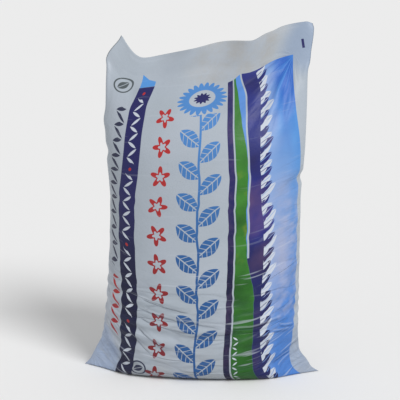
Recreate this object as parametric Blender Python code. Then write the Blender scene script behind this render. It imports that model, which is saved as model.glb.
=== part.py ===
"""A sealed film bag of compost, standing on its bottom end.

The bag is a flat tube of plastic film, sealed at both ends and filled. Its front faces -Y, and +Z is up.
The fill makes a rounded body. The bottom corners stay flat and stand out to the sides as two ears, and the
unfilled film above the top seal stands up as a flap with a wavy edge.

Everything is in metres. The origin is on the floor, under the middle of the bag.
"""

import math
from collections import namedtuple

import bmesh
import bpy
from mathutils import Vector

# The film tube
FLAT_WIDTH = 0.432  # across the two bottom corners, where the film lies flat
TWO_PLIES = 0.0024  # front and back film pressed together, with the air left between them
BAG_HEIGHT = 0.600  # floor to the top edge, before the edge's own waves

# The filled body: full widths and depths at the heights that shape it
FOOT_WIDTH = 0.354
BELLY_WIDTH = 0.349
WAIST_WIDTH = 0.342
CHEST_WIDTH = 0.354
SHOULDER_WIDTH = 0.359
FOOTPRINT_DEPTH = 0.126
BELLY_DEPTH = 0.186
CHEST_DEPTH = 0.164
BODY_SHIFT = 0.007  # the body above the foot stands this far to the right of it
EDGE_RADIUS = 0.026  # round edge between the footprint and the body
EDGE_FULLNESS = 0.27  # share of the step out from the footprint that is made in the edge's lowest third
BELLY_ROUNDING = 0.005  # how much deeper each face is at the belly than just above the edge
BELLY_HEIGHT = 0.110
WAIST_HEIGHT = 0.320
CHEST_HEIGHT = 0.400
SHOULDER_DEPTH = 0.113  # half way between the chest and the seal
NECK_DEPTH = 0.033  # just under the seal
NECK_HEIGHT = 0.528
SEAL_HEIGHT = 0.553  # where the front and back film meet under the flap

# The bottom ears
EAR_HEIGHT = 0.105  # height in which the ears run out into the round body
EAR_PINCH = 1.0  # how much faster than an ellipse the foot narrows towards the ears
EAR_INNER = 0.55  # where this starts, from 0 in the middle of the bag to 1 at an ear's tip
EAR_OUTER = 0.90  # where it is at its full
LEFT_EAR_CURVE = 0.036  # height in which the ear's edge has run most of its way in to the body
RIGHT_EAR_CURVE = 0.018
SHOULDER_PINCH = 0.5  # the same narrowing under the seal

# The flap
FLAP_WIDTH = 0.342
FLAP_SHIFT = 0.024  # the flap's top leans to the right
FLAP_SWEEP = 0.050  # its two corners curl back
SWEEP_POWER = 2.6  # how much of the sweep is kept to the corners
FLAP_LEAN = 0.016  # its middle leans back
FLAP_RIPPLE = 0.007
FLAP_RIPPLES = 1.6  # waves across the flap
RIPPLE_START = 0.6  # the first wave's angle at the middle, in radians
# Top edge: place across the flap from -1 to 1, and height above BAG_HEIGHT
TOP_EDGE = (
    (-1.00, 0.004),
    (-0.93, -0.013),
    (-0.84, -0.029),
    (-0.76, -0.035),
    (-0.60, -0.031),
    (-0.08, -0.011),
    (0.42, -0.001),
    (0.52, 0.006),
    (0.64, 0.020),
    (0.82, 0.028),
    (1.00, 0.032),
)
WAVE_POWER = 5.0  # how quickly the waves of the top edge die out down the bag

# Mesh density
POINTS_ACROSS = 40
ROW_BANDS = (  # lowest height, highest height, rows
    (0.000, EDGE_RADIUS, 4),
    (EDGE_RADIUS, 0.175, 20),
    (0.175, CHEST_HEIGHT, 14),
    (CHEST_HEIGHT, BAG_HEIGHT, 19),
)

# A fold is a crease in the film: the middle of its line seen from the front or back, its slope, half its
# length, half its width and its depth. Beside each valley stands a lower ridge.
RIDGE_PLACE = 1.9  # in half widths from the valley
RIDGE_SHARE = 0.55  # of the valley's depth
FOLD_DEPTH_KEPT = 0.012  # where the bag is thinner than this on one side, folds are shallower
Fold = namedtuple("Fold", "x z slope_deg half_length half_width depth")

FRONT_FOLDS = (
    # Creases across the front where the fill has slumped
    Fold(-0.055, 0.088, -5.0, 0.110, 0.0075, 0.0042),
    Fold(0.062, 0.088, 5.0, 0.100, 0.0070, 0.0055),
    Fold(-0.080, 0.113, -5.0, 0.075, 0.0065, 0.0032),
    Fold(-0.070, 0.130, -4.0, 0.070, 0.0065, 0.0026),
    Fold(-0.085, 0.064, -15.0, 0.075, 0.0065, 0.0034),
    Fold(0.075, 0.108, 3.0, 0.050, 0.0065, 0.0024),
    Fold(0.085, 0.066, 8.0, 0.060, 0.0065, 0.0028),
    Fold(0.080, 0.146, -5.0, 0.055, 0.0070, 0.0022),
    Fold(0.085, 0.170, -3.0, 0.055, 0.0070, 0.0018),
    # Creases that run from the filled body out to the ears
    Fold(-0.150, 0.038, -42.0, 0.045, 0.0060, 0.0040),
    Fold(-0.126, 0.030, -30.0, 0.045, 0.0060, 0.0030),
    Fold(0.150, 0.036, 42.0, 0.040, 0.0060, 0.0045),
    Fold(0.128, 0.030, 32.0, 0.045, 0.0060, 0.0036),
    # Long folds that hang from the top right corner, where the film is gathered into the flap
    Fold(0.124, 0.520, 56.0, 0.060, 0.0080, 0.0060),
    Fold(0.148, 0.500, 74.0, 0.070, 0.0080, 0.0050),
    Fold(0.100, 0.470, 50.0, 0.065, 0.0090, 0.0034),
    Fold(-0.120, 0.500, -66.0, 0.055, 0.0085, 0.0030),
    # The nick in the right side
    Fold(0.160, 0.352, 38.0, 0.040, 0.0070, 0.0060),
)
BACK_FOLDS = (
    Fold(0.030, 0.094, 3.0, 0.130, 0.0075, 0.0045),
    Fold(-0.070, 0.120, -6.0, 0.075, 0.0070, 0.0034),
    Fold(0.085, 0.064, -9.0, 0.065, 0.0070, 0.0036),
    Fold(0.060, 0.148, 4.0, 0.070, 0.0070, 0.0024),
    Fold(-0.148, 0.038, -40.0, 0.045, 0.0060, 0.0042),
    Fold(0.148, 0.038, 40.0, 0.045, 0.0060, 0.0042),
    Fold(-0.110, 0.500, -60.0, 0.060, 0.0085, 0.0045),
    Fold(0.115, 0.505, 62.0, 0.060, 0.0085, 0.0045),
    Fold(0.000, 0.500, 84.0, 0.045, 0.0085, 0.0030),
)

# Short puckers along the two side creases, where the film has more length than the body is tall
PUCKER_PITCH = 0.024
PUCKER_DEPTH = 0.0016
PUCKER_REACH = 0.030  # how far they run in from the crease
PUCKER_FOOT = 0.042  # lowest and highest puckers
PUCKER_TOP = 0.300
PUCKER_FADE = 0.080
PUCKER_DRIFT = 1.1  # how unevenly they are spaced, in radians
DRIFT_PITCH = 0.203
DRIFT_OFFSET = 2.0  # so that the two sides differ

FILM_COLOUR = (0.80, 0.84, 0.88, 1.0)
FILM_ROUGHNESS = 0.42


def smooth(share):
    """Eases from 0 to 1 with level ends."""
    share = min(1.0, max(0.0, share))
    return share * share * (3.0 - 2.0 * share)


def between(stations, place):
    """The size at a place, on a smooth curve through (place, size) stations in order."""
    if place <= stations[0][0]:
        return stations[0][1]
    if place >= stations[-1][0]:
        return stations[-1][1]
    last = next(i for i, station in enumerate(stations) if station[0] >= place)
    (low, low_size), (high, high_size) = stations[last - 1], stations[last]
    before = stations[max(0, last - 2)]
    after = stations[min(len(stations) - 1, last + 1)]
    span = high - low
    share = (place - low) / span
    low_slope = (high_size - before[1]) / (high - before[0]) * span
    high_slope = (after[1] - low_size) / (after[0] - low) * span
    squared, cubed = share**2, share**3
    return (
        (2 * cubed - 3 * squared + 1) * low_size
        + (cubed - 2 * squared + share) * low_slope
        + (3 * squared - 2 * cubed) * high_size
        + (cubed - squared) * high_slope
    )


def half_width(across, height):
    """Half the bag's width, with the ears at the foot. The left ear is the taller one."""
    body = between(
        (
            (0.0, FOOT_WIDTH / 2),
            (BELLY_HEIGHT, BELLY_WIDTH / 2),
            (WAIST_HEIGHT, WAIST_WIDTH / 2),
            (CHEST_HEIGHT, CHEST_WIDTH / 2),
            ((CHEST_HEIGHT + SEAL_HEIGHT) / 2, SHOULDER_WIDTH / 2),
            (SEAL_HEIGHT, SHOULDER_WIDTH / 2),
            (BAG_HEIGHT, FLAP_WIDTH / 2),
        ),
        height,
    )
    ear = (FLAT_WIDTH - FOOT_WIDTH) / 2
    curve = LEFT_EAR_CURVE if across < 0 else RIGHT_EAR_CURVE
    return body + ear * math.exp(-height / curve)


def half_depth(height):
    """Half the body's depth at its middle, without the film's own thickness."""
    return between(
        (
            (0.0, FOOTPRINT_DEPTH / 2),
            (EDGE_RADIUS / 3, FOOTPRINT_DEPTH / 2 + (BELLY_DEPTH - FOOTPRINT_DEPTH) * EDGE_FULLNESS),
            (EDGE_RADIUS, BELLY_DEPTH / 2 - BELLY_ROUNDING),
            (BELLY_HEIGHT, BELLY_DEPTH / 2),
            (CHEST_HEIGHT, CHEST_DEPTH / 2),
            ((CHEST_HEIGHT + SEAL_HEIGHT) / 2, SHOULDER_DEPTH / 2),
            (NECK_HEIGHT, NECK_DEPTH / 2),
            (SEAL_HEIGHT, 0.0),
            (BAG_HEIGHT, 0.0),
        ),
        height,
    )


def pinch(across, height):
    """How far the section is drawn out to thin ends: 1 is an ellipse."""
    at_ears = smooth((abs(across) - EAR_INNER) / (EAR_OUTER - EAR_INNER))
    at_ears *= 1.0 - smooth(height / EAR_HEIGHT)
    at_shoulders = smooth((height - CHEST_HEIGHT) / (SEAL_HEIGHT - CHEST_HEIGHT))
    return 1.0 + EAR_PINCH * at_ears + SHOULDER_PINCH * at_shoulders


def centre_x(height):
    """Where the section's middle lies: the body stands a little askew and the flap leans to the right."""
    body = BODY_SHIFT * smooth(height / WAIST_HEIGHT)
    flap = (height - SEAL_HEIGHT) / (BAG_HEIGHT - SEAL_HEIGHT)
    return body + (FLAP_SHIFT - BODY_SHIFT) * smooth(flap)


def flap_y(across, height):
    """How far back the film's middle plane lies, with the flap's sweep, lean and ripples."""
    share = max(0.0, (height - CHEST_HEIGHT) / (BAG_HEIGHT - CHEST_HEIGHT))
    sweep = FLAP_SWEEP * share**2 * abs(across) ** SWEEP_POWER
    lean = FLAP_LEAN * share**2 * (1.0 - across**2)
    ripple = FLAP_RIPPLE * share**3 * math.sin(2 * math.pi * FLAP_RIPPLES * across + RIPPLE_START)
    return sweep + lean + ripple


def crease(fold, x, z):
    """How deep a fold presses the film in at a point: a narrow valley with a soft ridge above it."""
    slope = math.radians(fold.slope_deg)
    along = (x - fold.x) * math.cos(slope) + (z - fold.z) * math.sin(slope)
    aside = (z - fold.z) * math.cos(slope) - (x - fold.x) * math.sin(slope)
    reach = abs(along) / fold.half_length
    if reach >= 1.0:
        return 0.0
    fade = 1.0 - smooth(reach)
    valley = math.exp(-((aside / fold.half_width) ** 2))
    ridge = math.exp(-((aside / fold.half_width - RIDGE_PLACE) ** 2))
    return fold.depth * fade * (valley - RIDGE_SHARE * ridge)


def pucker(across, height):
    """The short ripples beside each side crease."""
    inward = half_width(across, height) * (1.0 - abs(across))
    fade = math.exp(-((inward / PUCKER_REACH) ** 2))
    fade *= smooth((height - PUCKER_FOOT) / PUCKER_FADE)
    fade *= 1.0 - smooth((height - PUCKER_TOP) / PUCKER_FADE)
    side = DRIFT_OFFSET if across > 0 else 0.0
    drift = PUCKER_DRIFT * math.sin(2 * math.pi * height / DRIFT_PITCH + side)
    return PUCKER_DEPTH * fade * math.sin(2 * math.pi * height / PUCKER_PITCH + drift)


def film_point(angle, height, face):
    """A point of the film. Angle runs from -pi/2 at the left crease to pi/2 at the right one, and face is
    -1 on the front and 1 on the back."""
    across = math.sin(angle)
    width = half_width(across, height)
    depth = half_depth(height)
    bulge = max(0.0, math.cos(angle)) ** pinch(across, height)
    x = centre_x(height) + width * across
    z = height + between(TOP_EDGE, across) * (height / BAG_HEIGHT) ** WAVE_POWER
    folds = FRONT_FOLDS if face < 0 else BACK_FOLDS
    pressed = sum(crease(fold, x, z) for fold in folds) + pucker(across, height)
    pressed *= smooth(height / EDGE_RADIUS) * smooth(depth * bulge / FOLD_DEPTH_KEPT)
    outward = Vector((across * depth, face * math.cos(angle) * width, 0.0)).normalized()
    y = flap_y(across, height) + face * (depth * bulge + TWO_PLIES / 2)
    return Vector((x, y, z)) - outward * pressed


def even_angles():
    """Angles at even steps along the body's section, so that the film's points are evenly spaced."""
    wide, deep = WAIST_WIDTH / 2, BELLY_DEPTH / 2
    fine = 10 * POINTS_ACROSS
    steps = [-math.pi / 2 + math.pi * i / fine for i in range(fine + 1)]
    lengths = [0.0]
    for low, high in zip(steps, steps[1:]):
        run = wide * (math.sin(high) - math.sin(low))
        rise = deep * (math.cos(high) - math.cos(low))
        lengths.append(lengths[-1] + math.hypot(run, rise))
    angles = []
    for i in range(POINTS_ACROSS + 1):
        wanted = lengths[-1] * i / POINTS_ACROSS
        place = max(1, next(n for n, length in enumerate(lengths) if length >= wanted - 1e-12))
        share = (wanted - lengths[place - 1]) / (lengths[place] - lengths[place - 1])
        angles.append(steps[place - 1] + (steps[place] - steps[place - 1]) * share)
    return angles


def row_heights():
    """The heights of the rows of points, closer together where the film is folded."""
    heights = [ROW_BANDS[0][0]]
    for low, high, rows in ROW_BANDS:
        heights += [low + (high - low) * (i + 1) / rows for i in range(rows)]
    return heights


def bag_mesh():
    """The whole bag as one closed surface: a ring of film at each height, closed at the foot and the top."""
    angles = even_angles()
    mesh = bmesh.new()
    rings = []
    for height in row_heights():
        front = [film_point(angle, height, -1) for angle in angles]
        back = [film_point(angle, height, 1) for angle in reversed(angles)]
        rings.append([mesh.verts.new(point) for point in front + back])
    count = len(rings[0])
    for lower, upper in zip(rings, rings[1:]):
        for i in range(count):
            after = (i + 1) % count
            mesh.faces.new((lower[i], lower[after], upper[after], upper[i]))
    mesh.faces.new(list(reversed(rings[0])))
    top = rings[-1]
    for i in range(POINTS_ACROSS):
        mesh.faces.new((top[i], top[i + 1], top[count - 2 - i], top[count - 1 - i]))
    bmesh.ops.recalc_face_normals(mesh, faces=mesh.faces)
    data = bpy.data.meshes.new("compost_bag")
    mesh.to_mesh(data)
    mesh.free()
    return data


def film_material():
    """Milky polyethylene film with a soft sheen."""
    material = bpy.data.materials.new("white film")
    material.use_nodes = True
    shader = material.node_tree.nodes["Principled BSDF"]
    shader.inputs["Base Color"].default_value = FILM_COLOUR
    shader.inputs["Roughness"].default_value = FILM_ROUGHNESS
    shader.inputs["Metallic"].default_value = 0.0
    return material


def centre_on_floor(data):
    """Moves the mesh so that the origin is on the floor under the middle of the bag's box."""
    xs = [vertex.co.x for vertex in data.vertices]
    ys = [vertex.co.y for vertex in data.vertices]
    middle = Vector(((min(xs) + max(xs)) / 2, (min(ys) + max(ys)) / 2, 0.0))
    for vertex in data.vertices:
        vertex.co -= middle


def main():
    for old in list(bpy.data.objects):
        bpy.data.objects.remove(old, do_unlink=True)
    collection = bpy.data.collections.new("compost bag")
    bpy.context.scene.collection.children.link(collection)
    data = bag_mesh()
    centre_on_floor(data)
    data.materials.append(film_material())
    data.shade_smooth()
    bag = bpy.data.objects.new("compost_bag", data)
    collection.objects.link(bag)


main()
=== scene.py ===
"""Dresses the plain compost bag in its printed film and sets up a studio stage.

The film is a flat tube, laid over the plain solid as an even grid. Every point keeps its place on the flat
film, so that the print bends with each fold. A small simulation lets the spare film along the sides and
above the foot pucker, and the longest creases are pressed in.
"""

import math

import bpy
import numpy as np
from bpy.props import FloatProperty, FloatVectorProperty, IntProperty, PointerProperty
from bpy.types import Operator, Panel, PropertyGroup
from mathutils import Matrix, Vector
from mathutils.bvhtree import BVHTree


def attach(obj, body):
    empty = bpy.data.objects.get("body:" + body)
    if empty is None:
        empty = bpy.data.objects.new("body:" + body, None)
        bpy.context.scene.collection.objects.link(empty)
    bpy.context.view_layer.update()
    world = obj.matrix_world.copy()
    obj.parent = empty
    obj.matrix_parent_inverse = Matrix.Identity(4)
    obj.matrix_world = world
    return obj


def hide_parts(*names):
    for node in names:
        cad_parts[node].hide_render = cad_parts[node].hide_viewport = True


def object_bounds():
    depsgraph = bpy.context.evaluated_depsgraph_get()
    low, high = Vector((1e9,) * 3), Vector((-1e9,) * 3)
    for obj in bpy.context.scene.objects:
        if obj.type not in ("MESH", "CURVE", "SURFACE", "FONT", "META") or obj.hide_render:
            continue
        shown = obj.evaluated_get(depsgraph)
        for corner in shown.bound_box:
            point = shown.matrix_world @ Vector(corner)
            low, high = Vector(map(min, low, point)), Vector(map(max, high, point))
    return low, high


bl_info = {
    "name": "Compost Bag Film",
    "version": (1, 0, 0),
    "blender": (4, 5, 0),
    "location": "3D View > Sidebar > Compost Bag",
    "description": "Lays printed film over a plain compost bag and sets up a studio stage",
    "category": "Object",
}

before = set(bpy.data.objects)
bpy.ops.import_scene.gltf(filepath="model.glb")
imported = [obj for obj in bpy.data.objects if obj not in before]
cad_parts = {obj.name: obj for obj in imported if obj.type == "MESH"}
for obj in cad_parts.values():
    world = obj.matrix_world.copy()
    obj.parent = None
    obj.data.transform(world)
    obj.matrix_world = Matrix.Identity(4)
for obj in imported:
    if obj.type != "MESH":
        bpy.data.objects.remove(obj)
SOLID_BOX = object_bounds()
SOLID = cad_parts["compost_bag"]
SOLID_WIDTH = SOLID_BOX[1].x - SOLID_BOX[0].x
IMAGE_WIDTH = 400  # of the photo, in pixels
FLOOR = 40.0  # half the width of the floor
FRONT, BACK = -1, 1


def smooth(share):
    """Eases from 0 to 1 with level ends."""
    share = np.clip(share, 0.0, 1.0)
    return share * share * (3.0 - 2.0 * share)


def linear(red, green, blue):
    """A colour from its usual 0 to 255 values."""
    parts = []
    for part in (red, green, blue):
        part /= 255.0
        parts.append(part / 12.92 if part <= 0.04045 else ((part + 0.055) / 1.055) ** 2.4)
    return (*parts, 1.0)


# Settings: a colour from its 0 to 255 values, a length, an angle, a plain number and a whole number.


def rgb(name, description, red, green, blue):
    value = linear(red, green, blue)
    return FloatVectorProperty(name=name, description=description, subtype="COLOR", size=4, default=value)


def metres(name, description, default):
    return FloatProperty(name=name, description=description, default=default, unit="LENGTH")


def degrees(name, description, default):
    return FloatProperty(name=name, description=description, default=math.radians(default), subtype="ANGLE")


def factor(name, description, default):
    return FloatProperty(name=name, description=description, default=default)


def count(name, description, default, least):
    return IntProperty(name=name, description=description, default=default, min=least)


class FilmSizes(PropertyGroup):
    """Sizes of the film and its mesh."""

    columns: count("Columns", "Grid cells across the flat film", 84, 12)
    rows: count("Rows", "Grid cells along the film", 138, 20)
    base_rows: count("Base samples", "Points read under the foot", 8, 2)
    levels: count("Levels", "Heights at which the solid is read", 150, 20)
    flat_width: metres("Flat width", "Width of the flat film tube", SOLID_WIDTH)
    ply: metres("Ply", "How far the film lies inside the plain solid", 0.0008)
    wave_power: factor("Wave power", "How fast the top edge's waves die out down the bag", 5.0)
    left_slack: factor("Left slack", "Share of the left crease's spare length that puckers", 0.4)
    right_slack: factor("Right slack", "Share of the right crease's spare length that puckers", 0.22)
    upper_slack: factor("Upper slack", "Share of this on the upper half of the bag", 0.1)
    slump_slack: factor("Slump slack", "Spare film length above the foot, as a share", 0.02)
    bending: factor("Bending", "The film's resistance to bending", 0.4)
    hold: factor("Hold", "How firmly the film keeps to the fill", 0.003)
    passes: count("Passes", "Steps of the film simulation", 300, 1)
    fold_width: metres("Fold width", "Half the width of the longest creases", 0.0058)
    fold_depth: metres("Fold depth", "How deep the longest creases press into the fill", 0.0018)
    inward: metres("Inward", "How far the film may press into the fill", 0.0015)
    reach: metres("Reach", "How far the film may stand off the fill", 0.006)


class PrintColours(PropertyGroup):
    """The colours of the film and its inks."""

    film: rgb("Film", "Milky film", 168, 176, 187)
    film_shade: rgb("Film shade", "Where the fill darkens the film", 155, 165, 174)
    empty: rgb("Empty film", "Film with no fill behind it", 141, 156, 177)
    dust: rgb("Dust", "Dry dust on the flap", 160, 155, 146)
    # Painted shade: the tone laid into the creases, not an ink.
    shadow: rgb("Creases", "The bottom of a crease", 60, 68, 92)
    navy: rgb("Navy", "Ribbon, stripe and leaves", 28, 28, 86)
    navy_low: rgb("Navy, low", "Navy at the foot", 9, 12, 50)
    # Painted light: a lighter tone for the foot's corners, most on the left.
    corner: rgb("Foot corners", "Bare film of the foot's corners", 166, 186, 218)
    navy_blue: rgb("Navy blue", "Brighter patches of the border", 28, 38, 122)
    # Also painted on the navy stripe as lighter patches that stand in for its sheen: a painted highlight.
    purple: rgb("Purple", "Patches of the border", 94, 70, 110)
    blue_low: rgb("Blue, low", "Vine at the foot", 35, 82, 138)
    blue_high: rgb("Blue, high", "Vine at the top", 73, 126, 187)
    red: rgb("Red", "Flowers and marks", 166, 40, 42)
    red_low: rgb("Red, low", "Flowers at the foot", 118, 28, 32)
    dark: rgb("Dark", "Small marks on the left", 40, 44, 70)
    grey: rgb("Grey", "The round leaf mark", 74, 82, 86)
    # Also used for painted light: the lighter lower left margin, the sheen streaks and the highlight above
    # the longest creases.
    pale: rgb("Pale", "Bare film in the print", 190, 197, 208)
    green_low: rgb("Green", "Green stripe", 32, 96, 16)
    green_high: rgb("Light green", "Lighter patches of the green stripe", 56, 122, 40)
    green_gold: rgb("Golden green", "Golden patches of the green stripe", 120, 138, 44)
    green_deep: rgb("Deep green", "Darker patches of the green stripe", 14, 62, 16)
    sky_pale: rgb("Sliver", "Light blue stripe", 84, 134, 202)
    sky_low: rgb("Field, low", "Blue field at the foot", 66, 118, 190)
    sky_high: rgb("Field, high", "Blue field at the top", 78, 138, 202)
    # Partly painted shade: it darkens the field's upper corner and the creases fanning from it.
    sky_deep: rgb("Field, deep", "Upper outer corner of the field", 34, 94, 188)
    sky_light: rgb("Field, light", "Field beside the leaves", 134, 162, 208)
    haze: rgb("Haze", "Pale haze in the field", 158, 165, 192)


class PrintLayout(PropertyGroup):
    """Places and sizes of the print on the flat film, and the film's sheen."""

    mark_place: metres("Marks", "Middle of the small marks", 0.035)
    ribbon_place: metres("Ribbon", "Middle of the ribbon", 0.0715)
    ribbon_width: metres("Ribbon width", "Width of the ribbon", 0.038)
    flower_place: metres("Flowers", "Middle of the flowers", 0.1365)
    flower_pitch: metres("Flower pitch", "From flower to flower", 0.054)
    flower_radius: metres("Flower radius", "Length of a petal", 0.02)
    vine_place: metres("Vine", "Middle of the vine", 0.2115)
    vine_pitch: metres("Vine pitch", "From leaf to leaf on one side", 0.056)
    leaf_length: metres("Leaf length", "Length of the big leaves", 0.053)
    leaf_width: metres("Leaf width", "Half the width of the big leaves", 0.014)
    bloom_height: metres("Bloom height", "Middle of the big flower along the film", 0.598)
    bloom_width: metres("Bloom width", "Half the width of the big flower", 0.056)
    bloom_tall: metres("Bloom tallness", "Half the height of the big flower", 0.035)
    roughness: factor("Roughness", "Sheen of the film, lower is glossier", 0.34)


class StageLook(PropertyGroup):
    """The floor, the light and the camera."""

    floor_colour: rgb("Floor", "Floor and background", 235, 235, 235)
    ambient: factor("Ambient", "Light from all around", 0.55)
    key: factor("Key", "Strength of the soft key light", 2.15)
    key_softness: degrees("Key softness", "Angle that the key light fills", 24)
    key_azimuth: degrees("Key azimuth", "Right of the camera", 42)
    key_elevation: degrees("Key elevation", "Above the floor", 42)
    azimuth: degrees("Azimuth", "Camera's angle to the right of the front", 5.5)
    elevation: degrees("Elevation", "Camera's angle above level", 12.25)
    distance: metres("Distance", "Camera to bag", 2.55)
    aim: FloatVectorProperty(
        name="Aim", description="Middle of the view", default=(-0.002, 0.0, 0.314), subtype="TRANSLATION"
    )
    focal: factor("Focal length", "In pixels of the image", 1428.0)


class SolidReader:
    """Reads the plain solid's outline, and its front and back surface."""

    def __init__(self, node):
        mesh = node.data
        mesh.calc_loop_triangles()
        self.points = np.array([vertex.co for vertex in mesh.vertices])
        self.triangles = np.array([triangle.vertices for triangle in mesh.loop_triangles])
        self.edges = np.array([edge.vertices for edge in mesh.edges])
        self.tree = BVHTree.FromPolygons(self.points.tolist(), self.triangles.tolist())

    def crossings(self, axis, place):
        """Points where the solid's edges cross the plane at that place on an axis."""
        start, end = self.points[self.edges[:, 0]], self.points[self.edges[:, 1]]
        over = (start[:, axis] - place) * (end[:, axis] - place) <= 0
        over &= start[:, axis] != end[:, axis]
        start, end = start[over], end[over]
        share = (place - start[:, axis]) / (end[:, axis] - start[:, axis])
        return start + (end - start) * share[:, None]

    def side(self, height, hand):
        """The x of the left (-1) or right (1) crease at a height."""
        xs = self.crossings(2, height)[:, 0]
        return xs.min() if hand < 0 else xs.max()

    def top(self, x):
        """The height of the top edge at x."""
        return self.crossings(0, x)[:, 2].max()

    def surface(self, x, z, face):
        """The y of the front or back surface."""
        start = Vector((x, face, z))
        hit = self.tree.ray_cast(start, Vector((0, -face, 0)))[0]
        if hit is None:
            hit = self.tree.find_nearest(Vector((x, 0.0, z)))[0]
        return hit.y


def lengths_along(points, axis=0):
    """The distance along a line of points, from 0 at its first point."""
    steps = np.linalg.norm(np.diff(points, axis=axis), axis=-1)
    total = np.cumsum(steps, axis=axis)
    return np.concatenate([np.zeros_like(np.take(total, [0], axis=axis)), total], axis=axis)


def spread(points, count):
    """The same line with count + 1 points at even distances along it."""
    along = lengths_along(points)
    wanted = np.linspace(0.0, along[-1], count + 1)
    return np.stack([np.interp(wanted, along, points[:, axis]) for axis in range(3)], axis=1)


# The x and z of the middle, the radius, and the moves along x and z.
NUDGES = (
    (0.19, 0.583, 0.045, 0.0045, 0.0),
    (0.196, 0.6318, 0.013, -0.0022, -0.005),
    (0.109, 0.604, 0.024, 0.0, 0.0055),
    (0.045, 0.596, 0.06, 0.0, 0.0035),
    (-0.17, 0.574, 0.036, -0.0025, 0.0022),
    (-0.195, 0.032, 0.03, -0.004, 0.0),
    (0.188, 0.022, 0.022, 0.006, 0.0),
    (0.178, 0.361, 0.012, -0.006, 0.0),
    (-0.176, 0.457, 0.022, -0.0035, 0.0),
    (-0.172, 0.403, 0.016, 0.0045, 0.0),
)


def nudge(shape):
    """Pushes the film a little near its outline, as at the nick in the right crease."""
    for x, z, radius, move_x, move_z in NUDGES:
        away = ((shape[..., 0] - x) ** 2 + (shape[..., 2] - z) ** 2) / radius**2
        share = np.clip(1.0 - away, 0.0, 1.0) ** 2
        shape[..., 0] += move_x * share
        shape[..., 2] += move_z * share
    return shape


INSET = 0.0006  # from the floor and the top edge, where the solid is read
THINNEST = 0.0003  # half the least depth of the bag
INNER_SHARES = (0.004, 0.996)  # of the width, where the solid is read
FLAP_SHARE = 0.9  # of the height, above which the flap's tips are


def flap_tips(solid):
    """The flap's highest point on the left, and its outermost on the right."""
    upper = solid.points[solid.points[:, 2] > FLAP_SHARE * SOLID_BOX[1].z]
    middle = upper[:, 0].mean()
    left_tip = max(upper[upper[:, 0] < middle].tolist(), key=lambda point: point[2])
    right_tip = max(upper[upper[:, 0] > middle].tolist(), key=lambda point: point[0])
    return left_tip, right_tip


def film_levels(sizes):
    """Lines of points across both faces, from the floor up to the top edge."""
    solid = SolidReader(SOLID)
    left_tip, right_tip = flap_tips(solid)
    shares = (1.0 - np.cos(np.pi * np.linspace(0.0, 1.0, 2 * sizes.columns + 1))) / 2
    inner = np.clip(shares, *INNER_SHARES)
    tops = np.array([solid.top(left_tip[0] + (right_tip[0] - left_tip[0]) * share) for share in inner])
    flap_height = left_tip[2]
    faces = {FRONT: [], BACK: []}
    for level in np.linspace(0.0, 1.0, sizes.levels + 1):
        heights = level * flap_height + (tops - flap_height) * level**sizes.wave_power
        heights = np.clip(heights, INSET, tops - INSET)
        left, right = solid.side(heights[0], -1), solid.side(heights[-1], 1)
        xs = left + (right - left) * inner
        spots = list(zip(xs, heights))
        front, back = (np.array([solid.surface(*spot, face) for spot in spots]) for face in (FRONT, BACK))
        centre, half = (front + back) / 2, (back - front) / 2
        half = np.maximum(half - sizes.ply, THINNEST)
        half[[0, -1]] = 0.0
        xs[[0, -1]] = left, right
        for face in (FRONT, BACK):
            line = np.stack([xs, centre + face * half, heights], axis=1)
            faces[face].append(spread(line, sizes.columns))
    return faces


def with_base(sizes, levels):
    """One face with its half of the base, from the straight bottom seal out to the foot."""
    foot = levels[0]
    seam = foot.copy()
    ends = seam[[0, -1]]
    for axis in (0, 1):
        seam[:, axis] = np.linspace(ends[0, axis], ends[1, axis], sizes.columns + 1)
    base = [seam + (foot - seam) * i / sizes.base_rows for i in range(sizes.base_rows)]
    columns = np.concatenate([np.array(base), levels])
    return np.stack([spread(columns[:, i], sizes.rows) for i in range(sizes.columns + 1)], axis=1)


def film_shape(sizes):
    """Points of the film: [face][row][column], from the bottom seal up to the top edge."""
    faces = film_levels(sizes)
    front, back = (with_base(sizes, np.array(faces[face])) for face in (FRONT, BACK))
    for edge in (0, -1):
        front[:, edge] = back[:, edge] = (front[:, edge] + back[:, edge]) / 2
    front[0] = back[0] = (front[0] + back[0]) / 2
    return nudge(np.stack([front, back]))


def film_numbers(sizes):
    """Vertex numbers as [face][row][column]. The two faces share the side creases and the bottom seal."""
    rows, columns = sizes.rows, sizes.columns
    front = np.arange((rows + 1) * (columns + 1)).reshape(rows + 1, columns + 1)
    back = front.copy()
    back[1:, 1:-1] = front.size + np.arange(rows * (columns - 1)).reshape(rows, columns - 1)
    return np.stack([front, back])


def film_length(shape):
    """Length of the film up its middle, from the bottom seal to the top edge."""
    return float(lengths_along(shape[0][:, shape.shape[2] // 2])[-1])


def keep_vectors(mesh, name, vectors):
    """Keeps one vector a point for the material."""
    mesh.attributes.new(name, "FLOAT_VECTOR", "POINT").data.foreach_set("vector", vectors.ravel())


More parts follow.
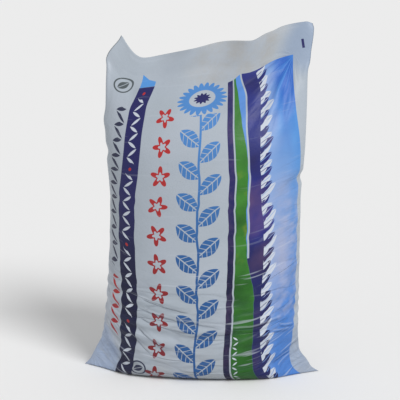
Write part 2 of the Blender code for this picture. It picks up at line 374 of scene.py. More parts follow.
def film_mesh(name, sizes, shape):
    """The closed film as a mesh. The attribute film_place keeps each point's place on the flat film, and
    film_ring its place on the film opened to a round tube."""
    numbers = film_numbers(sizes)
    total = numbers.max() + 1
    points = np.zeros((total, 3))
    points[numbers[0]] = shape[0]
    points[numbers[1, 1:, 1:-1]] = shape[1][1:, 1:-1]
    quads = []
    for face, grid in zip((FRONT, BACK), numbers):
        corners = [grid[:-1, :-1], grid[:-1, 1:], grid[1:, 1:], grid[1:, :-1]]
        if face == BACK:
            corners.reverse()
        quads.append(np.stack(corners, axis=-1).reshape(-1, 4))
    front_top, back_top = numbers[0, -1], numbers[1, -1]
    strip = np.stack([front_top[:-1], front_top[1:], back_top[1:], back_top[:-1]], axis=-1)
    faces = [list(dict.fromkeys(corners)) for corners in np.concatenate([*quads, strip]).tolist()]
    mesh = bpy.data.meshes.new(name)
    mesh.from_pydata(points.tolist(), [], faces)
    place = np.zeros((total, 3), np.float32)
    along = film_length(shape) * np.linspace(0, 1, sizes.rows + 1)
    across = np.linspace(0, sizes.flat_width, sizes.columns + 1)
    for side, grid in ((1, numbers[1]), (0, numbers[0])):
        place[grid, 0] = across[None, :]
        place[grid, 1] = along[:, None]
        place[grid, 2] = side
    keep_vectors(mesh, "film_place", place)
    ring = np.zeros((total, 3), np.float32)
    turn = np.pi * place[:, 0] / sizes.flat_width * (1.0 - 2.0 * place[:, 2])
    ring[:, 0] = -np.cos(turn) * sizes.flat_width / np.pi
    ring[:, 1] = -np.sin(turn) * sizes.flat_width / np.pi
    ring[:, 2] = place[:, 1]
    keep_vectors(mesh, "film_ring", ring)
    seams = [numbers[0, :, 0], numbers[0, :, -1], numbers[0, 0], front_top, back_top]
    pairs = {tuple(sorted(pair)) for seam in seams for pair in zip(seam[:-1].tolist(), seam[1:].tolist())}
    creases = [float(tuple(sorted(edge.vertices)) in pairs) for edge in mesh.edges]
    mesh.attributes.new("crease_edge", "FLOAT", "EDGE").data.foreach_set("value", creases)
    mesh.shade_smooth()
    return mesh


def ring_of(shape):
    """The two faces as rings: [row][place around the bag, from the left crease over the front]."""
    front, back = shape
    return np.concatenate([front, back[:, -2:0:-1]], axis=1)


def faces_of(ring, columns):
    """The rings as two faces again."""
    front = ring[:, : columns + 1]
    back = np.concatenate([ring[:, :1], ring[:, :columns - 1 : -1]], axis=1)
    return np.stack([front, back])


# Heights at which something starts or ends, and over what reach.
SLUMP_FROM, SLUMP_TO = (0.03, 0.03), (0.1, 0.1)
UPPER_FROM = (0.13, 0.13)
LOOSE_FROM, LOOSE_TO = (0.004, 0.02), (0.53, 0.03)
ROUND_SPARE = 1.002  # film around the bag over the solid's
MOST_GROWTH = 1.3  # the longest cell over the solid's
BENT = 0.98  # rest length of two cells in line
RIPPLE_SEED, RIPPLE_HEIGHT, RIPPLE_ROUNDS = 5, 0.0008, 3
STEP = 0.45  # of each move, made in one pass


def rise(height, start, reach):
    """0 below a height and 1 above it, eased over a reach."""
    return smooth((height - start) / reach)


def unit(vectors):
    """The vectors at a length of 1."""
    return vectors / np.maximum(np.linalg.norm(vectors, axis=-1, keepdims=True), 1e-12)


def spare_lengths(sizes, shape):
    """Rest lengths of the film's cells up each column. Along the side creases and above the slumped foot
    they are longer than on the bag."""
    lengths = lengths_along(shape, axis=1)[:, -1]
    hand = np.linspace(-1.0, 1.0, sizes.columns + 1)
    spare = (lengths.max() / lengths - 1.0) * np.where(hand < 0, sizes.left_slack, sizes.right_slack)
    steps = np.linalg.norm(np.diff(shape, axis=1), axis=-1)
    height = (shape[:, 1:, :, 2] + shape[:, :-1, :, 2]) / 2
    low = rise(height, *SLUMP_FROM) * (1.0 - rise(height, *SLUMP_TO))
    lower = 1.0 - (1.0 - sizes.upper_slack) * rise(height, *UPPER_FROM)
    return steps * (1.0 + spare[:, None] * lower + sizes.slump_slack * low)


def half_way(gap, rest):
    """Half of what brings each gap back to its rest length."""
    length = np.maximum(np.linalg.norm(gap, axis=-1), 1e-9)
    return gap * (0.5 * (length - rest) / length)[..., None]


def pull(points, axis, step, rest):
    """Moves that bring points some steps apart along an axis back to their rest length."""
    shift = half_way(np.roll(points, -step, axis) - points, rest)
    if axis == 0:
        shift[-step:] = 0.0
    return shift - np.roll(shift, step, axis)


def slant(points, hand):
    """From each point to the next one up and to one side."""
    return np.roll(np.roll(points, -1, 0), -hand, 1) - points


def pull_slanted(points, rests):
    """The same moves across the corners of the cells, both ways."""
    total = np.zeros_like(points)
    for hand, rest in rests.items():
        shift = half_way(slant(points, hand), rest)
        shift[-1:] = 0.0
        total += shift - np.roll(np.roll(shift, 1, 0), hand, 1)
    return total


def ripples(shape):
    """Even random heights, smoothed."""
    heights = np.random.default_rng(RIPPLE_SEED).normal(size=shape)
    for _ in range(RIPPLE_ROUNDS):
        down, up = np.roll(heights, 1, 0), np.roll(heights, -1, 0)
        heights = (heights + down + up + np.roll(heights, 1, 1) + np.roll(heights, -1, 1)) / 5
    return heights[..., None]


def settle(sizes, shape):
    """Lets the film take up its spare length. The fill holds it from inside, so that it buckles outwards."""
    start = ring_of(shape)
    rests = np.concatenate([spare_lengths(sizes, shape), np.zeros_like(shape[:, :1, :, 0])], axis=1)
    up = ring_of(rests[..., None])[..., 0]
    across = np.linalg.norm(np.roll(start, -1, 1) - start, axis=-1) * ROUND_SPARE
    straight = np.linalg.norm(np.roll(start, -1, 0) - start, axis=-1)
    growth = np.clip(up / np.maximum(straight, 1e-9), 1.0, MOST_GROWTH)
    slants = {hand: np.linalg.norm(slant(start, hand), axis=-1) * (0.5 + 0.5 * growth) for hand in (-1, 1)}
    normal = unit(np.cross(np.roll(start, -1, 1) - np.roll(start, 1, 1), np.gradient(start, axis=0)))
    height = start[..., 2]
    loose = (rise(height, *LOOSE_FROM) * (1.0 - rise(height, *LOOSE_TO)))[..., None]
    points = start + normal * ripples(start.shape[:2]) * RIPPLE_HEIGHT * loose
    for _ in range(sizes.passes):
        moves = pull(points, 0, 1, up)
        moves += pull(points, 1, 1, across)
        moves += 0.5 * pull_slanted(points, slants)
        moves += sizes.bending * pull(points, 0, 2, BENT * (up + np.roll(up, -1, 0)))
        moves += sizes.bending * pull(points, 1, 2, BENT * (across + np.roll(across, -1, 1)))
        points = points + moves * loose * STEP
        out = ((points - start) * normal).sum(axis=-1, keepdims=True)
        points = points + normal * (np.clip(out, -sizes.inward, sizes.reach) - out)
        points = points - (points - start) * sizes.hold
    return faces_of(points, sizes.columns)


# The longest creases: both ends on the flat film, and half the width of the shade.
FOLDS = (
    ((0.096, 0.208), (0.275, 0.176), 0.003),
    ((0.275, 0.176), (0.375, 0.163), 0.003),
    ((0.104, 0.188), (0.21, 0.17), 0.0022),
    ((0.104, 0.168), (0.166, 0.129), 0.0026),
    ((0.11, 0.226), (0.205, 0.207), 0.002),
    ((0.09, 0.15), (0.14, 0.118), 0.0022),
    ((0.352, 0.144), (0.394, 0.1255), 0.0024),
    ((0.366, 0.15), (0.404, 0.127), 0.0022),
    ((0.36, 0.077), (0.409, 0.0685), 0.0024),
    ((0.37, 0.062), (0.409, 0.064), 0.0022),
)


FOLD_ENDS = (0.2, 0.3)  # of a crease, over which it starts and ends
LIP, LIP_AWAY = 0.8, 1.7  # height and distance of the ridge above a crease


def press_folds(sizes, shape):
    """Presses the longest creases into the front of the film, with a low ridge above each."""
    front = shape[0]
    across = np.linspace(0.0, sizes.flat_width, sizes.columns + 1)[None, :]
    along = film_length(shape) * np.linspace(0.0, 1.0, sizes.rows + 1)[:, None]
    depth = np.zeros(front.shape[:2])
    for (u0, v0), (u1, v1), _ in FOLDS:
        share = (across - u0) / (u1 - u0)
        away = (along - v0 - share * (v1 - v0)) / sizes.fold_width
        ends = smooth(share / FOLD_ENDS[0]) * smooth((1.0 - share) / FOLD_ENDS[1])
        depth += ends * (np.exp(-(away**2)) - LIP * np.exp(-((away - LIP_AWAY) ** 2)))
    normal = unit(np.cross(np.gradient(front, axis=1), np.gradient(front, axis=0)))
    shape[0] = front - normal * (sizes.fold_depth * np.clip(depth, -1.0, 1.0))[..., None]
    return shape


def refine(film):
    """One level of subdivision, so that the wrinkles are round."""
    bpy.context.view_layer.objects.active = film
    film.modifiers.new("fine", "SUBSURF").levels = 1
    bpy.ops.object.modifier_apply(modifier="fine")


def forward(kind):
    """An operator on a value and another term."""
    return lambda value, other: value.math(kind, value, other)


def reflected(kind):
    return lambda value, other: value.math(kind, other, value)


def alone(kind):
    return lambda value: value.math(kind, value)


class Value:
    """A number, vector or colour that varies over a surface. Arithmetic on numbers adds Math nodes."""

    def __init__(self, finish, socket):
        self.finish = finish
        self.socket = socket

    def math(self, operation, *terms, clamp=False):
        settings = {"operation": operation, "use_clamp": clamp}
        return self.finish.node("ShaderNodeMath", settings, dict(enumerate(terms)))

    __add__, __radd__ = forward("ADD"), reflected("ADD")
    __sub__, __rsub__ = forward("SUBTRACT"), reflected("SUBTRACT")
    __mul__, __rmul__ = forward("MULTIPLY"), reflected("MULTIPLY")
    __truediv__, __rtruediv__ = forward("DIVIDE"), reflected("DIVIDE")
    __pow__, __abs__ = forward("POWER"), alone("ABSOLUTE")
    smaller, larger, above = forward("MINIMUM"), forward("MAXIMUM"), forward("GREATER_THAN")
    floor, part = alone("FLOOR"), alone("FRACT")
    sine, cosine = alone("SINE"), alone("COSINE")
    angle = forward("ARCTAN2")  # of the line from the origin to (other, value)

    def clamp(self):
        return self.math("ADD", self, 0.0, clamp=True)

    def ease(self, low, high):
        """0 at low and 1 at high, with level ends, also where low is the larger."""
        inputs = {"Value": self, "From Min": low, "From Max": high}
        return self.finish.node("ShaderNodeMapRange", {"interpolation_type": "SMOOTHSTEP"}, inputs)


class Finish:
    """A node tree for a material or a world. Every node comes from node()."""

    def __init__(self, owner):
        self.owner = owner
        owner.use_nodes = True
        self.tree = owner.node_tree
        self.tree.nodes.clear()

    def node(self, kind, settings=None, inputs=None, output=0):
        made = self.tree.nodes.new(kind)
        for name, value in (settings or {}).items():
            setattr(made, name, value)
        for key, value in (inputs or {}).items():
            if isinstance(value, Value):
                self.tree.links.new(value.socket, made.inputs[key])
            else:
                made.inputs[key].default_value = value
        return Value(self, made.outputs[output]) if made.outputs else None

    def paint(self, under, over, share):
        """One colour over another, by a share that may vary."""
        settings = {"data_type": "RGBA", "blend_type": "MIX"}
        tones = [tone if isinstance(tone, Value) else tuple(tone) for tone in (under, over)]
        return self.node("ShaderNodeMix", settings, {0: share, 6: tones[0], 7: tones[1]}, output=2)

    def layers(self, colour, *layers):
        """A colour with others over it, each by its own share."""
        for tone, share in layers:
            colour = self.paint(colour, tone, share)
        return colour

    def stretch(self, vector, across, along):
        inputs = {0: vector, 1: (across, across, along)}
        return self.node("ShaderNodeVectorMath", {"operation": "MULTIPLY"}, inputs)

    def place(self, u, v):
        return self.node("ShaderNodeCombineXYZ", None, {0: u, 1: v})

    def noise(self, place, scale, detail=2.0, roughness=0.5, warp=0.0):
        inputs = {"Vector": place, "Scale": scale, "Detail": detail}
        inputs |= {"Roughness": roughness, "Distortion": warp}
        return self.node("ShaderNodeTexNoise", {"noise_dimensions": "3D"}, inputs)

    def chance(self, number):
        """Three even random numbers for each whole number."""
        settings = {"noise_dimensions": "1D"}
        colour = self.node("ShaderNodeTexWhiteNoise", settings, {"W": number}, output="Color")
        return [self.node("ShaderNodeSeparateColor", None, {0: colour}, output=i) for i in range(3)]


def inside(depth, edge=0.0006):
    """1 where the depth into a shape is more than nothing. The ink's edge is a little soft."""
    return (depth / edge + 0.5).clamp()


def distance(across, along):
    """From the origin."""
    return (across * across + along * along) ** 0.5


def ridge(height, middle, steepness):
    """1 where a height is at its middle, falling off on both sides to 0."""
    return (1.0 - abs(height - middle) * steepness).clamp()


def between(place, low, high):
    """1 between two places across or along the film."""
    return inside((place - low).smaller(high - place))


def leaf(across, along, length, width, angle):
    """The depth inside a leaf that grows from the origin at an angle, and the places along and beside it."""
    varies = isinstance(angle, Value)
    turn = (angle.cosine(), angle.sine()) if varies else (math.cos(angle), math.sin(angle))
    run = across * turn[0] + along * turn[1]
    side = along * turn[0] - across * turn[1]
    share = run / length
    return share * (1.0 - share) * 4.0 * width - abs(side), run, side


def repeat(place, pitch, offset=0.0):
    """The number of the repeat that a place is in, and the distance from its start."""
    counted = place / pitch + offset
    number = counted.floor()
    return number, (counted - number) * pitch


def vine(u, v, layout):
    """A stem with big leaves to either side in turn. The leaves have bare ribs."""
    pitch, rib_pitch, rib, midrib, stalk = layout.vine_pitch, 0.0105, 0.0007, 0.001, 0.0022
    across = u - layout.vine_place
    along = repeat(v, pitch, across.above(0.0) * 0.5)[1] - 0.003
    depth, run, side = leaf(abs(across), along, layout.leaf_length, layout.leaf_width, math.radians(40))
    back = (run + abs(side) * 0.7) / rib_pitch
    ribs = (abs(side) - midrib).smaller(abs(back - (back + 0.5).floor()) * rib_pitch - rib)
    stem = stalk - abs(across + (v * (math.pi / pitch)).sine() * 0.0015)
    return (inside(depth) * inside(ribs)).larger(inside(stem))


def bloom(u, v, layout):
    """One big open flower above the vine: its petals, and its middle."""
    across = (u - layout.vine_place) / layout.bloom_width
    up = (v - layout.bloom_height) / layout.bloom_tall
    radius = distance(across, up)
    wave = (up.angle(across) * 11.0).cosine()
    petals = inside(abs(wave) * 0.24 + 0.72 - radius, 0.02) * inside(radius - 0.5, 0.03)
    middle = inside(0.28 - radius + wave * 0.05, 0.02)
    return petals, middle


def seal(across, up, radius):
    """A small ring with a leaf in it."""
    away = distance(across, up)
    place = (across + radius * 0.63, up + radius * 0.4)
    depth, _, side = leaf(*place, radius * 1.5, radius * 0.47, math.radians(32))
    return inside(0.0014 - abs(away - radius)).larger(inside(depth) * inside(abs(side) - 0.0006))


def flowers(u, v, layout):
    """A column of open flowers with five petals."""
    number, along = repeat(v, layout.flower_pitch)
    across, up = u - layout.flower_place, along - layout.flower_pitch / 2
    radius = distance(across, up)
    wave = ((up.angle(across) + number * 0.9) * 5.0).cosine()
    petals = (wave * 0.3 + 0.7) * layout.flower_radius
    heart = layout.flower_radius * (0.34 + wave * 0.1)
    return inside(petals - radius) * inside(radius - heart)


def sprigs(u, v, middle, pitch, length, width):
    """A column of short slanted leaves, in turn to either side."""
    number, along = repeat(v, pitch)
    flip = (number * 0.5).part() * 4.0 - 1.0
    across = (u - middle) * flip + length * 0.36
    return inside(leaf(across, along - pitch * 0.12, length, width, math.radians(36))[0])


def fringe(finish, across, v, pitch, offset, reach, width, seed):
    """A row of long leaves that grow across the film, each of its own length and slant."""
    number, along = repeat(v, pitch, offset)
    long, turned, low = finish.chance(number + seed)
    length = (long * 0.3 + 0.7) * reach
    slanted = 0.42 + (turned - 0.5) * 0.35
    depth, _, side = leaf(across, along - pitch * 0.25 + (low - 0.5) * 0.002, length, width, slanted)
    return inside(depth) * inside(abs(side) - 0.0006)


def fan(finish, u, v, corner, reach, count):
    """Creases that run out from a corner and die away, from 0 to 1."""
    across, up = u - corner[0], v - corner[1]
    radius = distance(across, up)
    ray = finish.noise(finish.place(up.angle(across) * count, radius * 6.0), 1.0, 2.0, 0.6)
    return ridge(ray, 0.5, 7.0) * radius.ease(reach, reach * 0.35) * radius.ease(0.0, 0.02)


def long_folds(finish, u, v):
    """The longest creases, from 0 to 1."""
    sway = (finish.noise(finish.place(u, v), 30.0, 2.0) - 0.5) * 0.006
    total = None
    for (u0, v0), (u1, v1), width in FOLDS:
        share = (u - u0) / (u1 - u0)
        line = 1.0 - abs(v + sway - v0 - share * (v1 - v0)) / width
        line = line.clamp() * share.ease(0.0, 0.15) * share.ease(1.0, 0.8)
        total = line if total is None else total.larger(line)
    return total


# Places across the flat film, from its left crease, with the height where there are two.
STRIPE = (0.2662, 0.2768)
GREEN_FROM = 0.2797
SLIVER_TO = 0.3012
BORDER_FROM = 0.3045
PRINT_FOLD = 0.267  # the print swings left of this
FIELD_CORNER = (0.402, 0.644)
MARK = (0.414, 0.6635)
FLAT_EDGE = 0.432
# Places along the film, from the bottom seal.
RIBBON_TOP = 0.637
SLIVER_FOOT = 0.3
FOOT_CORNER, FLAP_CORNER = 0.045, 0.665
BARE_TOP = 0.06  # down from the top edge

# Columns of small slanted leaves: pitch, length and half width.
MARK_LEAVES = (0.0155, 0.032, 0.0038)
RIBBON_LEAVES = (0.015, 0.0235, 0.0027)
SPECKS = (0.0095, 0.0105, 0.0014)

# Rows of leaves in the border: pitch, offset, reach, half width, seed, and the name of the tone.
LEAF_ROWS = (
    (0.025, 0.0, 0.044, 0.0088, 3.0, "pale"),
    (0.025, 0.5, 0.04, 0.008, 17.0, "band"),
    (0.025, 0.2, 0.03, 0.006, 29.0, "pale"),
    (0.025, 0.7, 0.026, 0.0055, 41.0, "band"),
    (0.0125, 0.4, 0.015, 0.0024, 53.0, "pale"),
)


class FilmPrint(Finish):
    """Milky film, printed on its front. Each method lays one part over the colour so far."""

    def __init__(self, name, inks, layout, length):
        super().__init__(bpy.data.materials.new(name))
        self.inks, self.layout = inks, layout
        self.where = self.node("ShaderNodeAttribute", {"attribute_name": "film_place"}, output="Vector")
        parts = [self.node("ShaderNodeSeparateXYZ", None, {0: self.where}, output=i) for i in range(3)]
        self.flat, self.v, back = parts
        self.ring = self.node("ShaderNodeAttribute", {"attribute_name": "film_ring"}, output="Vector")
        self.front = (1.0 - back).clamp()
        self.soft = self.noise(self.ring, 9.0, 3.0)
        self.wander = self.noise(self.place(self.flat * 0.6, self.v), 15.0)
        self.fine = self.noise(self.ring, 60.0, 4.0, 0.6)
        self.u = self.drifted()
        self.top = length - BARE_TOP
        self.stripes_top = inside(self.top - 0.0165 + (self.u - PRINT_FOLD) * 0.45 - self.v)
        self.low_navy = self.paint(inks.navy, inks.navy_low, self.v.ease(0.44, 0.24))
        self.corner_fan = fan(self, self.flat, self.v, FIELD_CORNER, 0.22, 2.2)
        self.widened = self.v.ease(0.315, 0.235) * 0.0165 + self.v.ease(0.19, 0.08) * 0.004
        self.colour = None

    def ink(self, tone, mask):
        """Prints a tone on the front of the film."""
        self.colour = self.paint(self.colour, tone, mask * self.front)

    def drifted(self):
        """The place across the print, which swings right at the foot and at the flap of a filled bag."""
        flat, v = self.flat, self.v
        swing = v.ease(0.36, 0.19) * 0.0165 + v.ease(0.4, 0.52) * 0.019 + v.ease(0.585, 0.67) * 0.022
        u = flat - ((PRINT_FOLD - flat) / 0.1955).clamp() * swing + v.ease(0.43, 0.55) * 0.0035
        gathered = flat.ease(0.276, 0.289) * flat.ease(0.345, 0.292) * 0.008 - flat.ease(0.29, 0.27) * 0.002
        return u + v.ease(0.595, 0.645) * gathered

    def near(self, away, height, reach, full):
        """1 near the point at a height on a side crease."""
        return distance(away, self.v - height).ease(reach, full)

    def bare_film(self):
        """The film's own colour, its empty corners and dust, and painted light: a lighter lower left margin
        and lighter foot corners, most on the left.
        """
        inks, flat, v = self.inks, self.flat, self.v
        right_gap = FLAT_EDGE - flat
        left_corner = self.near(flat, FOOT_CORNER, 0.095, 0.05)
        ends = left_corner * 0.5
        for height, reach in ((FOOT_CORNER, 0.085), (FLAP_CORNER, 0.075)):
            ends = ends.larger(self.near(right_gap, height, reach, reach * 0.5))
        right_corner = right_gap.ease(0.06, 0.02) * v.ease(0.1, 0.05)
        on_flap = v.ease(0.61, 0.64) * flat.ease(0.16, 0.22) * flat.ease(0.4, 0.34)
        at_foot = v.ease(0.17, 0.07)
        dust = (self.noise(self.ring, 22.0, 5.0, 0.65) * 2.6 - 0.85).clamp()
        self.dust = dust * (on_flap * 0.55 + at_foot * 0.3 + 0.05)
        self.colour = self.layers(
            inks.film,
            (inks.film_shade, (self.soft * 1.6 - 0.4).clamp()),
            (inks.empty, ends),
            # Painted light: a lighter tone along the lower left margin.
            (inks.pale, flat.ease(0.09, 0.03) * v.ease(0.26, 0.16) * 0.75),
            # Painted light: a lighter, bluer tone at the foot's corners, strong on the left and faint on the
            # right.
            (inks.corner, left_corner * 0.9 + right_corner * 0.2),
            (inks.dust, self.dust),
        )

    def small_marks(self, inks, u, v):
        """The slanted leaves on the left, two ring marks, and the short dark mark on the flap."""
        flat = self.flat
        marks = sprigs(u, v, self.layout.mark_place, *MARK_LEAVES)
        self.ink(inks.dark, marks * between(v, 0.262, 0.59))
        self.ink(inks.red, marks * between(v, 0.125, 0.245))
        leaning = flat - 0.0475
        self.ink(inks.grey, seal(leaning * 0.72, v - 0.633 - leaning * 0.69, 0.015))
        self.ink(inks.dark, seal(flat - 0.115, v - 0.088, 0.014))
        lean = (flat - MARK[0]) + (v - MARK[1]) * 0.32
        self.ink(inks.navy, inside(0.0023 - abs(lean)) * inside(0.009 - abs(v - MARK[1])))

    def ribbon(self, inks, u, v):
        """The dark ribbon with its leaves, its dots and its notched light blue end."""
        layout = self.layout
        away = abs(u - layout.ribbon_place)
        half = layout.ribbon_width / 2
        self.ink(self.low_navy, inside(half - away) * inside(RIBBON_TOP - v))
        notch = 0.6525 + away * 0.2 - (u - layout.ribbon_place) * 0.5 - v
        self.ink(inks.sky_high, inside((half * 0.96 - away).smaller(v - RIBBON_TOP).smaller(notch)))
        seeds = sprigs(u, v, layout.ribbon_place, *RIBBON_LEAVES)
        dots_along = repeat(v, 0.15, 0.35)[1] - 0.075
        dots = distance(dots_along, away)
        self.ink(inks.pale, seeds * inside(dots - 0.0125) * inside(0.628 - v))
        self.ink(inks.red, inside(0.0032 - dots))

    def garden(self, inks, u, v):
        """The column of flowers, and the vine under its big flower."""
        layout = self.layout
        red = self.paint(inks.red_low, inks.red, v.ease(0.12, 0.5))
        self.ink(red, flowers(u, v, layout) * inside(0.594 - v))
        blue = self.paint(inks.blue_low, inks.blue_high, v.ease(0.25, 0.58))
        self.ink(blue, vine(u, v, layout) * inside(layout.bloom_height - layout.bloom_tall * 0.95 - v))
        petals, middle = bloom(u, v, layout)
        self.ink(blue, petals)
        self.ink(inks.navy, middle)

    def stripes(self, inks, u, v):
        """A navy stripe with lighter purple patches that are painted highlights, a light blue sliver, and a
        green stripe in patches with specks at its foot.
        """
        # Painted highlight: lighter purple patches on the navy stripe stand in for its sheen.
        navy = self.paint(self.low_navy, inks.purple, (self.fine * 2.4 - 1.0).clamp() * 0.45)
        self.ink(navy, between(u, *STRIPE) * self.stripes_top)
        sliver = between(u, GREEN_FROM, SLIVER_TO) * inside(v - SLIVER_FOOT)
        self.ink(inks.sky_pale, sliver * self.stripes_top)
        patches = self.noise(self.where, 26.0, 3.0)
        gold = self.noise(self.stretch(self.where, 1.0, 0.6), 38.0, 2.0)
        self.green = self.layers(
            inks.green_low,
            (inks.green_high, (self.wander * 2.6 - 0.7).clamp()),
            (inks.green_deep, (patches * 2.2 - 0.9).clamp()),
            (inks.green_gold, (gold * 5.0 - 2.9).clamp() * v.ease(0.28, 0.34) * 0.7),
            (inks.green_high, v.ease(0.34, 0.48) * 0.5),
            (inks.green_deep, v.ease(0.32, 0.12) * 0.4),
        )
        self.green_edge = 0.2995 - v.ease(0.49, 0.63) * 0.0135 + self.widened + (self.wander - 0.5) * 0.008
        self.ink(self.green, between(u, GREEN_FROM, self.green_edge) * self.stripes_top)
        self.ink(inks.pale, sprigs(u, v, 0.2865, *SPECKS) * inside(0.16 - v))

    def field(self, inks, u, v):
        """The blue field on the right, with haze, light ripples, and a deeper upper corner that is partly the
        print's gradient and partly painted shade, with painted shade in its fan creases.
        """
        # Deeper towards the upper outer corner: partly the print's own gradient, partly painted shade against
        # the brighter light at the top.
        deep = v.ease(0.5, 0.62) * u.ease(0.345, 0.385) * 0.45
        haze = u.ease(0.412, 0.365) * v.ease(0.56, 0.34) * v.ease(0.16, 0.27)
        haze = haze + u.ease(0.376, 0.345) * v.ease(0.44, 0.56) * 0.6
        ripple = self.noise(self.stretch(self.where, 1.0, 3.5), 55.0, 2.0)
        ripples = (ripple * 4.0 - 1.6).clamp() * v.ease(0.13, 0.18) * v.ease(0.44, 0.34)
        field = self.layers(
            inks.sky_low,
            (inks.sky_high, v.ease(0.1, 0.5)),
            # Painted shade: the fan creases at the upper corner are darkened with the deep blue.
            (inks.sky_deep, (deep + self.corner_fan * 0.55).clamp()),
            (inks.haze, (haze * (self.wander * 1.1 + 0.1)).clamp()),
            (inks.sky_light, u.ease(0.372, 0.335) * 0.5),
            (inks.haze, ripples * 0.5),
        )
        outer = 0.403 + v.ease(0.55, 0.42) * 0.006 - v.ease(0.2, 0.15) * 0.004 - v.ease(0.08, 0.03) * 0.007
        self.ink(field, between(u, BORDER_FROM, outer) * inside(self.top - v))

    def border(self, inks, u, v):
        """The dark band beside the green stripe, and the leaves that grow from it."""
        purple = (self.noise(self.where, 11.0, 3.0) * 4.0 - 2.1).clamp()
        band = self.layers(
            inks.navy_blue,
            (inks.navy, (self.wander * 3.2 - 1.2).clamp()),
            (inks.purple, purple * v.ease(0.6, 0.42)),
            (inks.navy_low, v.ease(0.36, 0.26) * 0.6),
        )
        tones = {"pale": inks.pale, "band": band}
        start = self.green_edge.larger(inside(v - 0.305) * BORDER_FROM)
        edge = 0.3235 + (v * 24.0).sine() * 0.0045 + self.widened * 0.3
        for pitch, offset, reach, width, seed, tone in LEAF_ROWS:
            leaves = fringe(self, u - edge + 0.006, v, pitch, offset, reach, width, seed)
            self.ink(tones[tone], leaves * inside(self.top - v) * inside(u - start))
        self.ink(band, between(u, start, edge + 0.004) * inside(self.top - v))
        self.ink(self.green, between(u, 0.295, self.green_edge) * self.stripes_top)

    def corner_fans(self):
        """Creases that run out from the field's upper corner and from both corners of the foot."""
        flat, v = self.flat, self.v
        printed = inside(self.top + 0.004 - v, 0.02) * inside(FIELD_CORNER[0] - flat, 0.02)
        fans = (self.corner_fan * 1.4 * printed).larger(fan(self, flat, v, (FLAT_EDGE, 0.035), 0.13, 3.4))
        return fans.larger(fan(self, flat, v, (0.0, 0.035), 0.15, 3.4))

    def creases(self):
        """The depth of all creases: near level ones at the foot and the right side, and the fans."""
        ring, v = self.ring, self.v
        slack = v.ease(0.3, 0.22) * v.ease(0.02, 0.06)
        right = self.flat.ease(0.32, 0.4) * v.ease(0.52, 0.4)
        level = self.noise(self.stretch(ring, 1.2, 6.0), 5.0, 2.0, 0.45, 0.3)
        sharp = self.noise(self.stretch(ring, 1.0, 7.4), 5.0, 1.0, 0.4, 0.2)
        lines = ridge(level, 0.5, 17.0).larger(ridge(sharp, 0.52, 40.0) * 1.2) * (slack + right * 0.6).clamp()
        small = self.noise(self.stretch(ring, 3.0, 10.0), 11.0, 2.0, 0.5, 0.2)
        puckers = ridge(small, 0.5, 9.0) * (right + slack * 0.25).clamp()
        self.long = long_folds(self, self.flat, v)
        self.folds = lines.larger(self.long * 1.6) + puckers * 0.35 + self.corner_fans() * 0.8

    def wear_and_painted_light(self):
        """Thin pale streaks, partly scuffing and partly painted sheen highlights; painted shade in the
        creases; a painted highlight along the longest ones.
        """
        inks, v = self.inks, self.v
        # Pale streaks: partly scuffed film, partly painted highlights that stand in for the sheen on the
        # creases.
        streak_noise = self.noise(self.stretch(self.ring, 1.0, 17.0), 8.0, 2.0, 0.5)
        scuff_and_sheen_streaks = (streak_noise * 18.0 - 11.4).clamp() * (v.ease(0.34, 0.26) * 0.75 + 0.25)
        # Painted highlight: a pale band just above each of the longest creases.
        painted_fold_highlight = long_folds(self, self.flat, v - 0.0055)
        self.colour = self.layers(
            self.colour,
            (inks.pale, scuff_and_sheen_streaks * 0.4),
            # Painted shade in every crease, stronger on the front, and more along the longest creases.
            (inks.shadow, self.folds.clamp() * (0.05 + self.front * 0.09)),
            (inks.shadow, self.long * self.front * 0.18),
            (inks.pale, painted_fold_highlight * self.front * 0.3),
        )

    def surface(self):
        """The film's sheen and relief, and the finished material."""
        grain = self.noise(self.ring, 240.0, 3.0)
        swell = self.noise(self.stretch(self.ring, 0.5, 1.0), 42.0, 3.0)
        height = grain * 0.2 + swell * 1.1 - self.folds * 0.9
        bump = self.node("ShaderNodeBump", None, {"Strength": 0.65, "Distance": 0.0014, "Height": height})
        roughness = self.soft * 0.12 + self.layout.roughness + self.dust * 0.4 + self.fine * 0.06
        inputs = {"Base Color": self.colour, "Roughness": roughness, "Normal": bump, "IOR": 1.37}
        shader = self.node("ShaderNodeBsdfPrincipled", None, inputs)
        self.node("ShaderNodeOutputMaterial", None, {"Surface": shader})
        return self.owner


def film_finish(name, inks, layout, length):
    """The film's material, painted in the order of its layers."""
    film = FilmPrint(name, inks, layout, length)
    film.bare_film()
    for part in (film.small_marks, film.ribbon, film.garden, film.stripes, film.field, film.border):
        part(inks, film.u, film.v)
    film.creases()
    film.wear_and_painted_light()
    return film.surface()


class BAG_OT_film(Operator):
    """Lay the printed film over the plain bag"""

    bl_idname = "bag.film"
    bl_label = "Film"

    def execute(self, context):
        scene = context.scene
        sizes = scene.bag_film
        shape = film_shape(sizes)
        shape = settle(sizes, shape)
        shape = press_folds(sizes, shape)
        if not np.isfinite(shape).all():
            raise RuntimeError("The film can't be laid over the plain bag with these sizes.")
        film = bpy.data.objects.new("bag_film", film_mesh("bag_film", sizes, shape))
        scene.collection.objects.link(film)
        refine(film)
        length = film_length(shape)
        film.data.materials.append(film_finish("printed film", scene.bag_inks, scene.bag_layout, length))
        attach(film, "root")
        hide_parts("compost_bag")
        return {"FINISHED"}


def floor_finish(colour):
    finish = Finish(bpy.data.materials.new("studio floor"))
    inputs = {"Base Color": colour, "Roughness": 0.9, "Specular IOR Level": 0.0}
    shader = finish.node("ShaderNodeBsdfPrincipled", None, inputs)
    finish.node("ShaderNodeOutputMaterial", None, {"Surface": shader})
    return finish.owner


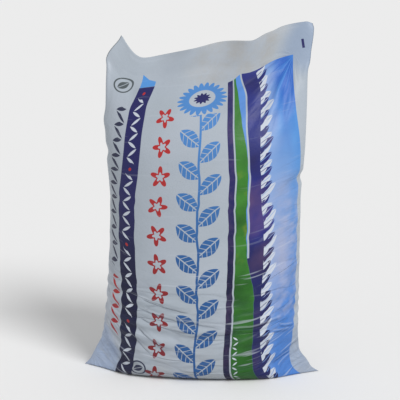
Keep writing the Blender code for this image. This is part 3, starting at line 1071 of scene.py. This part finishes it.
def studio_world(look):
    """Even light from all around. The camera and the film's sheen see the plain backdrop."""
    finish = Finish(bpy.data.worlds.new("studio"))
    camera = finish.node("ShaderNodeLightPath", output="Is Camera Ray")
    glossy = finish.node("ShaderNodeLightPath", output="Is Glossy Ray")
    white, pale = (1.0, 1.0, 1.0, 1.0), tuple(look.floor_colour)
    room = finish.node("ShaderNodeBackground", None, {"Color": white, "Strength": look.ambient})
    backdrop = finish.node("ShaderNodeBackground", None, {"Color": pale, "Strength": 1.0})
    mixed = finish.node("ShaderNodeMixShader", None, {0: camera.larger(glossy), 1: room, 2: backdrop})
    finish.node("ShaderNodeOutputWorld", None, {"Surface": mixed})
    return finish.owner


def key_light(look):
    """The soft key light from the upper right."""
    light = bpy.data.lights.new("key", "SUN")
    light.energy = look.key
    light.angle = look.key_softness
    key = bpy.data.objects.new("key", light)
    key.rotation_euler = (math.pi / 2 - look.key_elevation, 0, look.key_azimuth)
    return key


def photo_camera(look):
    """A camera that sees the bag as the photo does."""
    data = bpy.data.cameras.new("camera")
    data.lens = data.sensor_width * look.focal / IMAGE_WIDTH
    camera = bpy.data.objects.new("camera", data)
    azimuth, elevation = look.azimuth, look.elevation
    level = math.cos(elevation)
    back = Vector((math.sin(azimuth) * level, -math.cos(azimuth) * level, math.sin(elevation)))
    camera.location = Vector(look.aim) + back * look.distance
    camera.rotation_euler = (math.pi / 2 - elevation, 0, azimuth)
    return camera


class BAG_OT_stage(Operator):
    """Set up the floor, the light and the camera"""

    bl_idname = "bag.stage"
    bl_label = "Stage"

    def execute(self, context):
        scene = context.scene
        look = scene.bag_stage
        if look.focal <= 0.0 or look.distance <= 0.0:
            raise RuntimeError("The camera needs a focal length and a distance above 0.")
        corners = [(-FLOOR, -FLOOR, 0), (FLOOR, -FLOOR, 0), (FLOOR, FLOOR, 0), (-FLOOR, FLOOR, 0)]
        mesh = bpy.data.meshes.new("floor")
        mesh.from_pydata(corners, [], [(0, 1, 2, 3)])
        mesh.materials.append(floor_finish(tuple(look.floor_colour)))
        floor = bpy.data.objects.new("floor", mesh)
        scene.collection.objects.link(floor)
        scene.world = studio_world(look)
        scene.collection.objects.link(key_light(look))
        scene.camera = photo_camera(look)
        scene.collection.objects.link(scene.camera)
        scene.view_settings.view_transform = "Standard"
        return {"FINISHED"}


class BAG_PT_panel(Panel):
    """Lists the steps that dress the bag"""

    bl_idname = "BAG_PT_panel"
    bl_label = "Compost Bag"
    bl_space_type = "VIEW_3D"
    bl_region_type = "UI"
    bl_category = "Compost Bag"

    def draw(self, context):
        for step in STEPS:
            self.layout.operator(step.bl_idname)


STEPS = (BAG_OT_stage, BAG_OT_film)
GROUPS = {"bag_film": FilmSizes, "bag_inks": PrintColours, "bag_layout": PrintLayout, "bag_stage": StageLook}
CLASSES = (*GROUPS.values(), *STEPS, BAG_PT_panel)


def register():
    for entry in CLASSES:
        bpy.utils.register_class(entry)
    for name, group in GROUPS.items():
        setattr(bpy.types.Scene, name, PointerProperty(type=group))


def unregister():
    for name in GROUPS:
        delattr(bpy.types.Scene, name)
    for entry in reversed(CLASSES):
        bpy.utils.unregister_class(entry)


def main():
    register()
    bpy.ops.bag.stage()
    bpy.ops.bag.film()


if __name__ == "__main__":
    main()
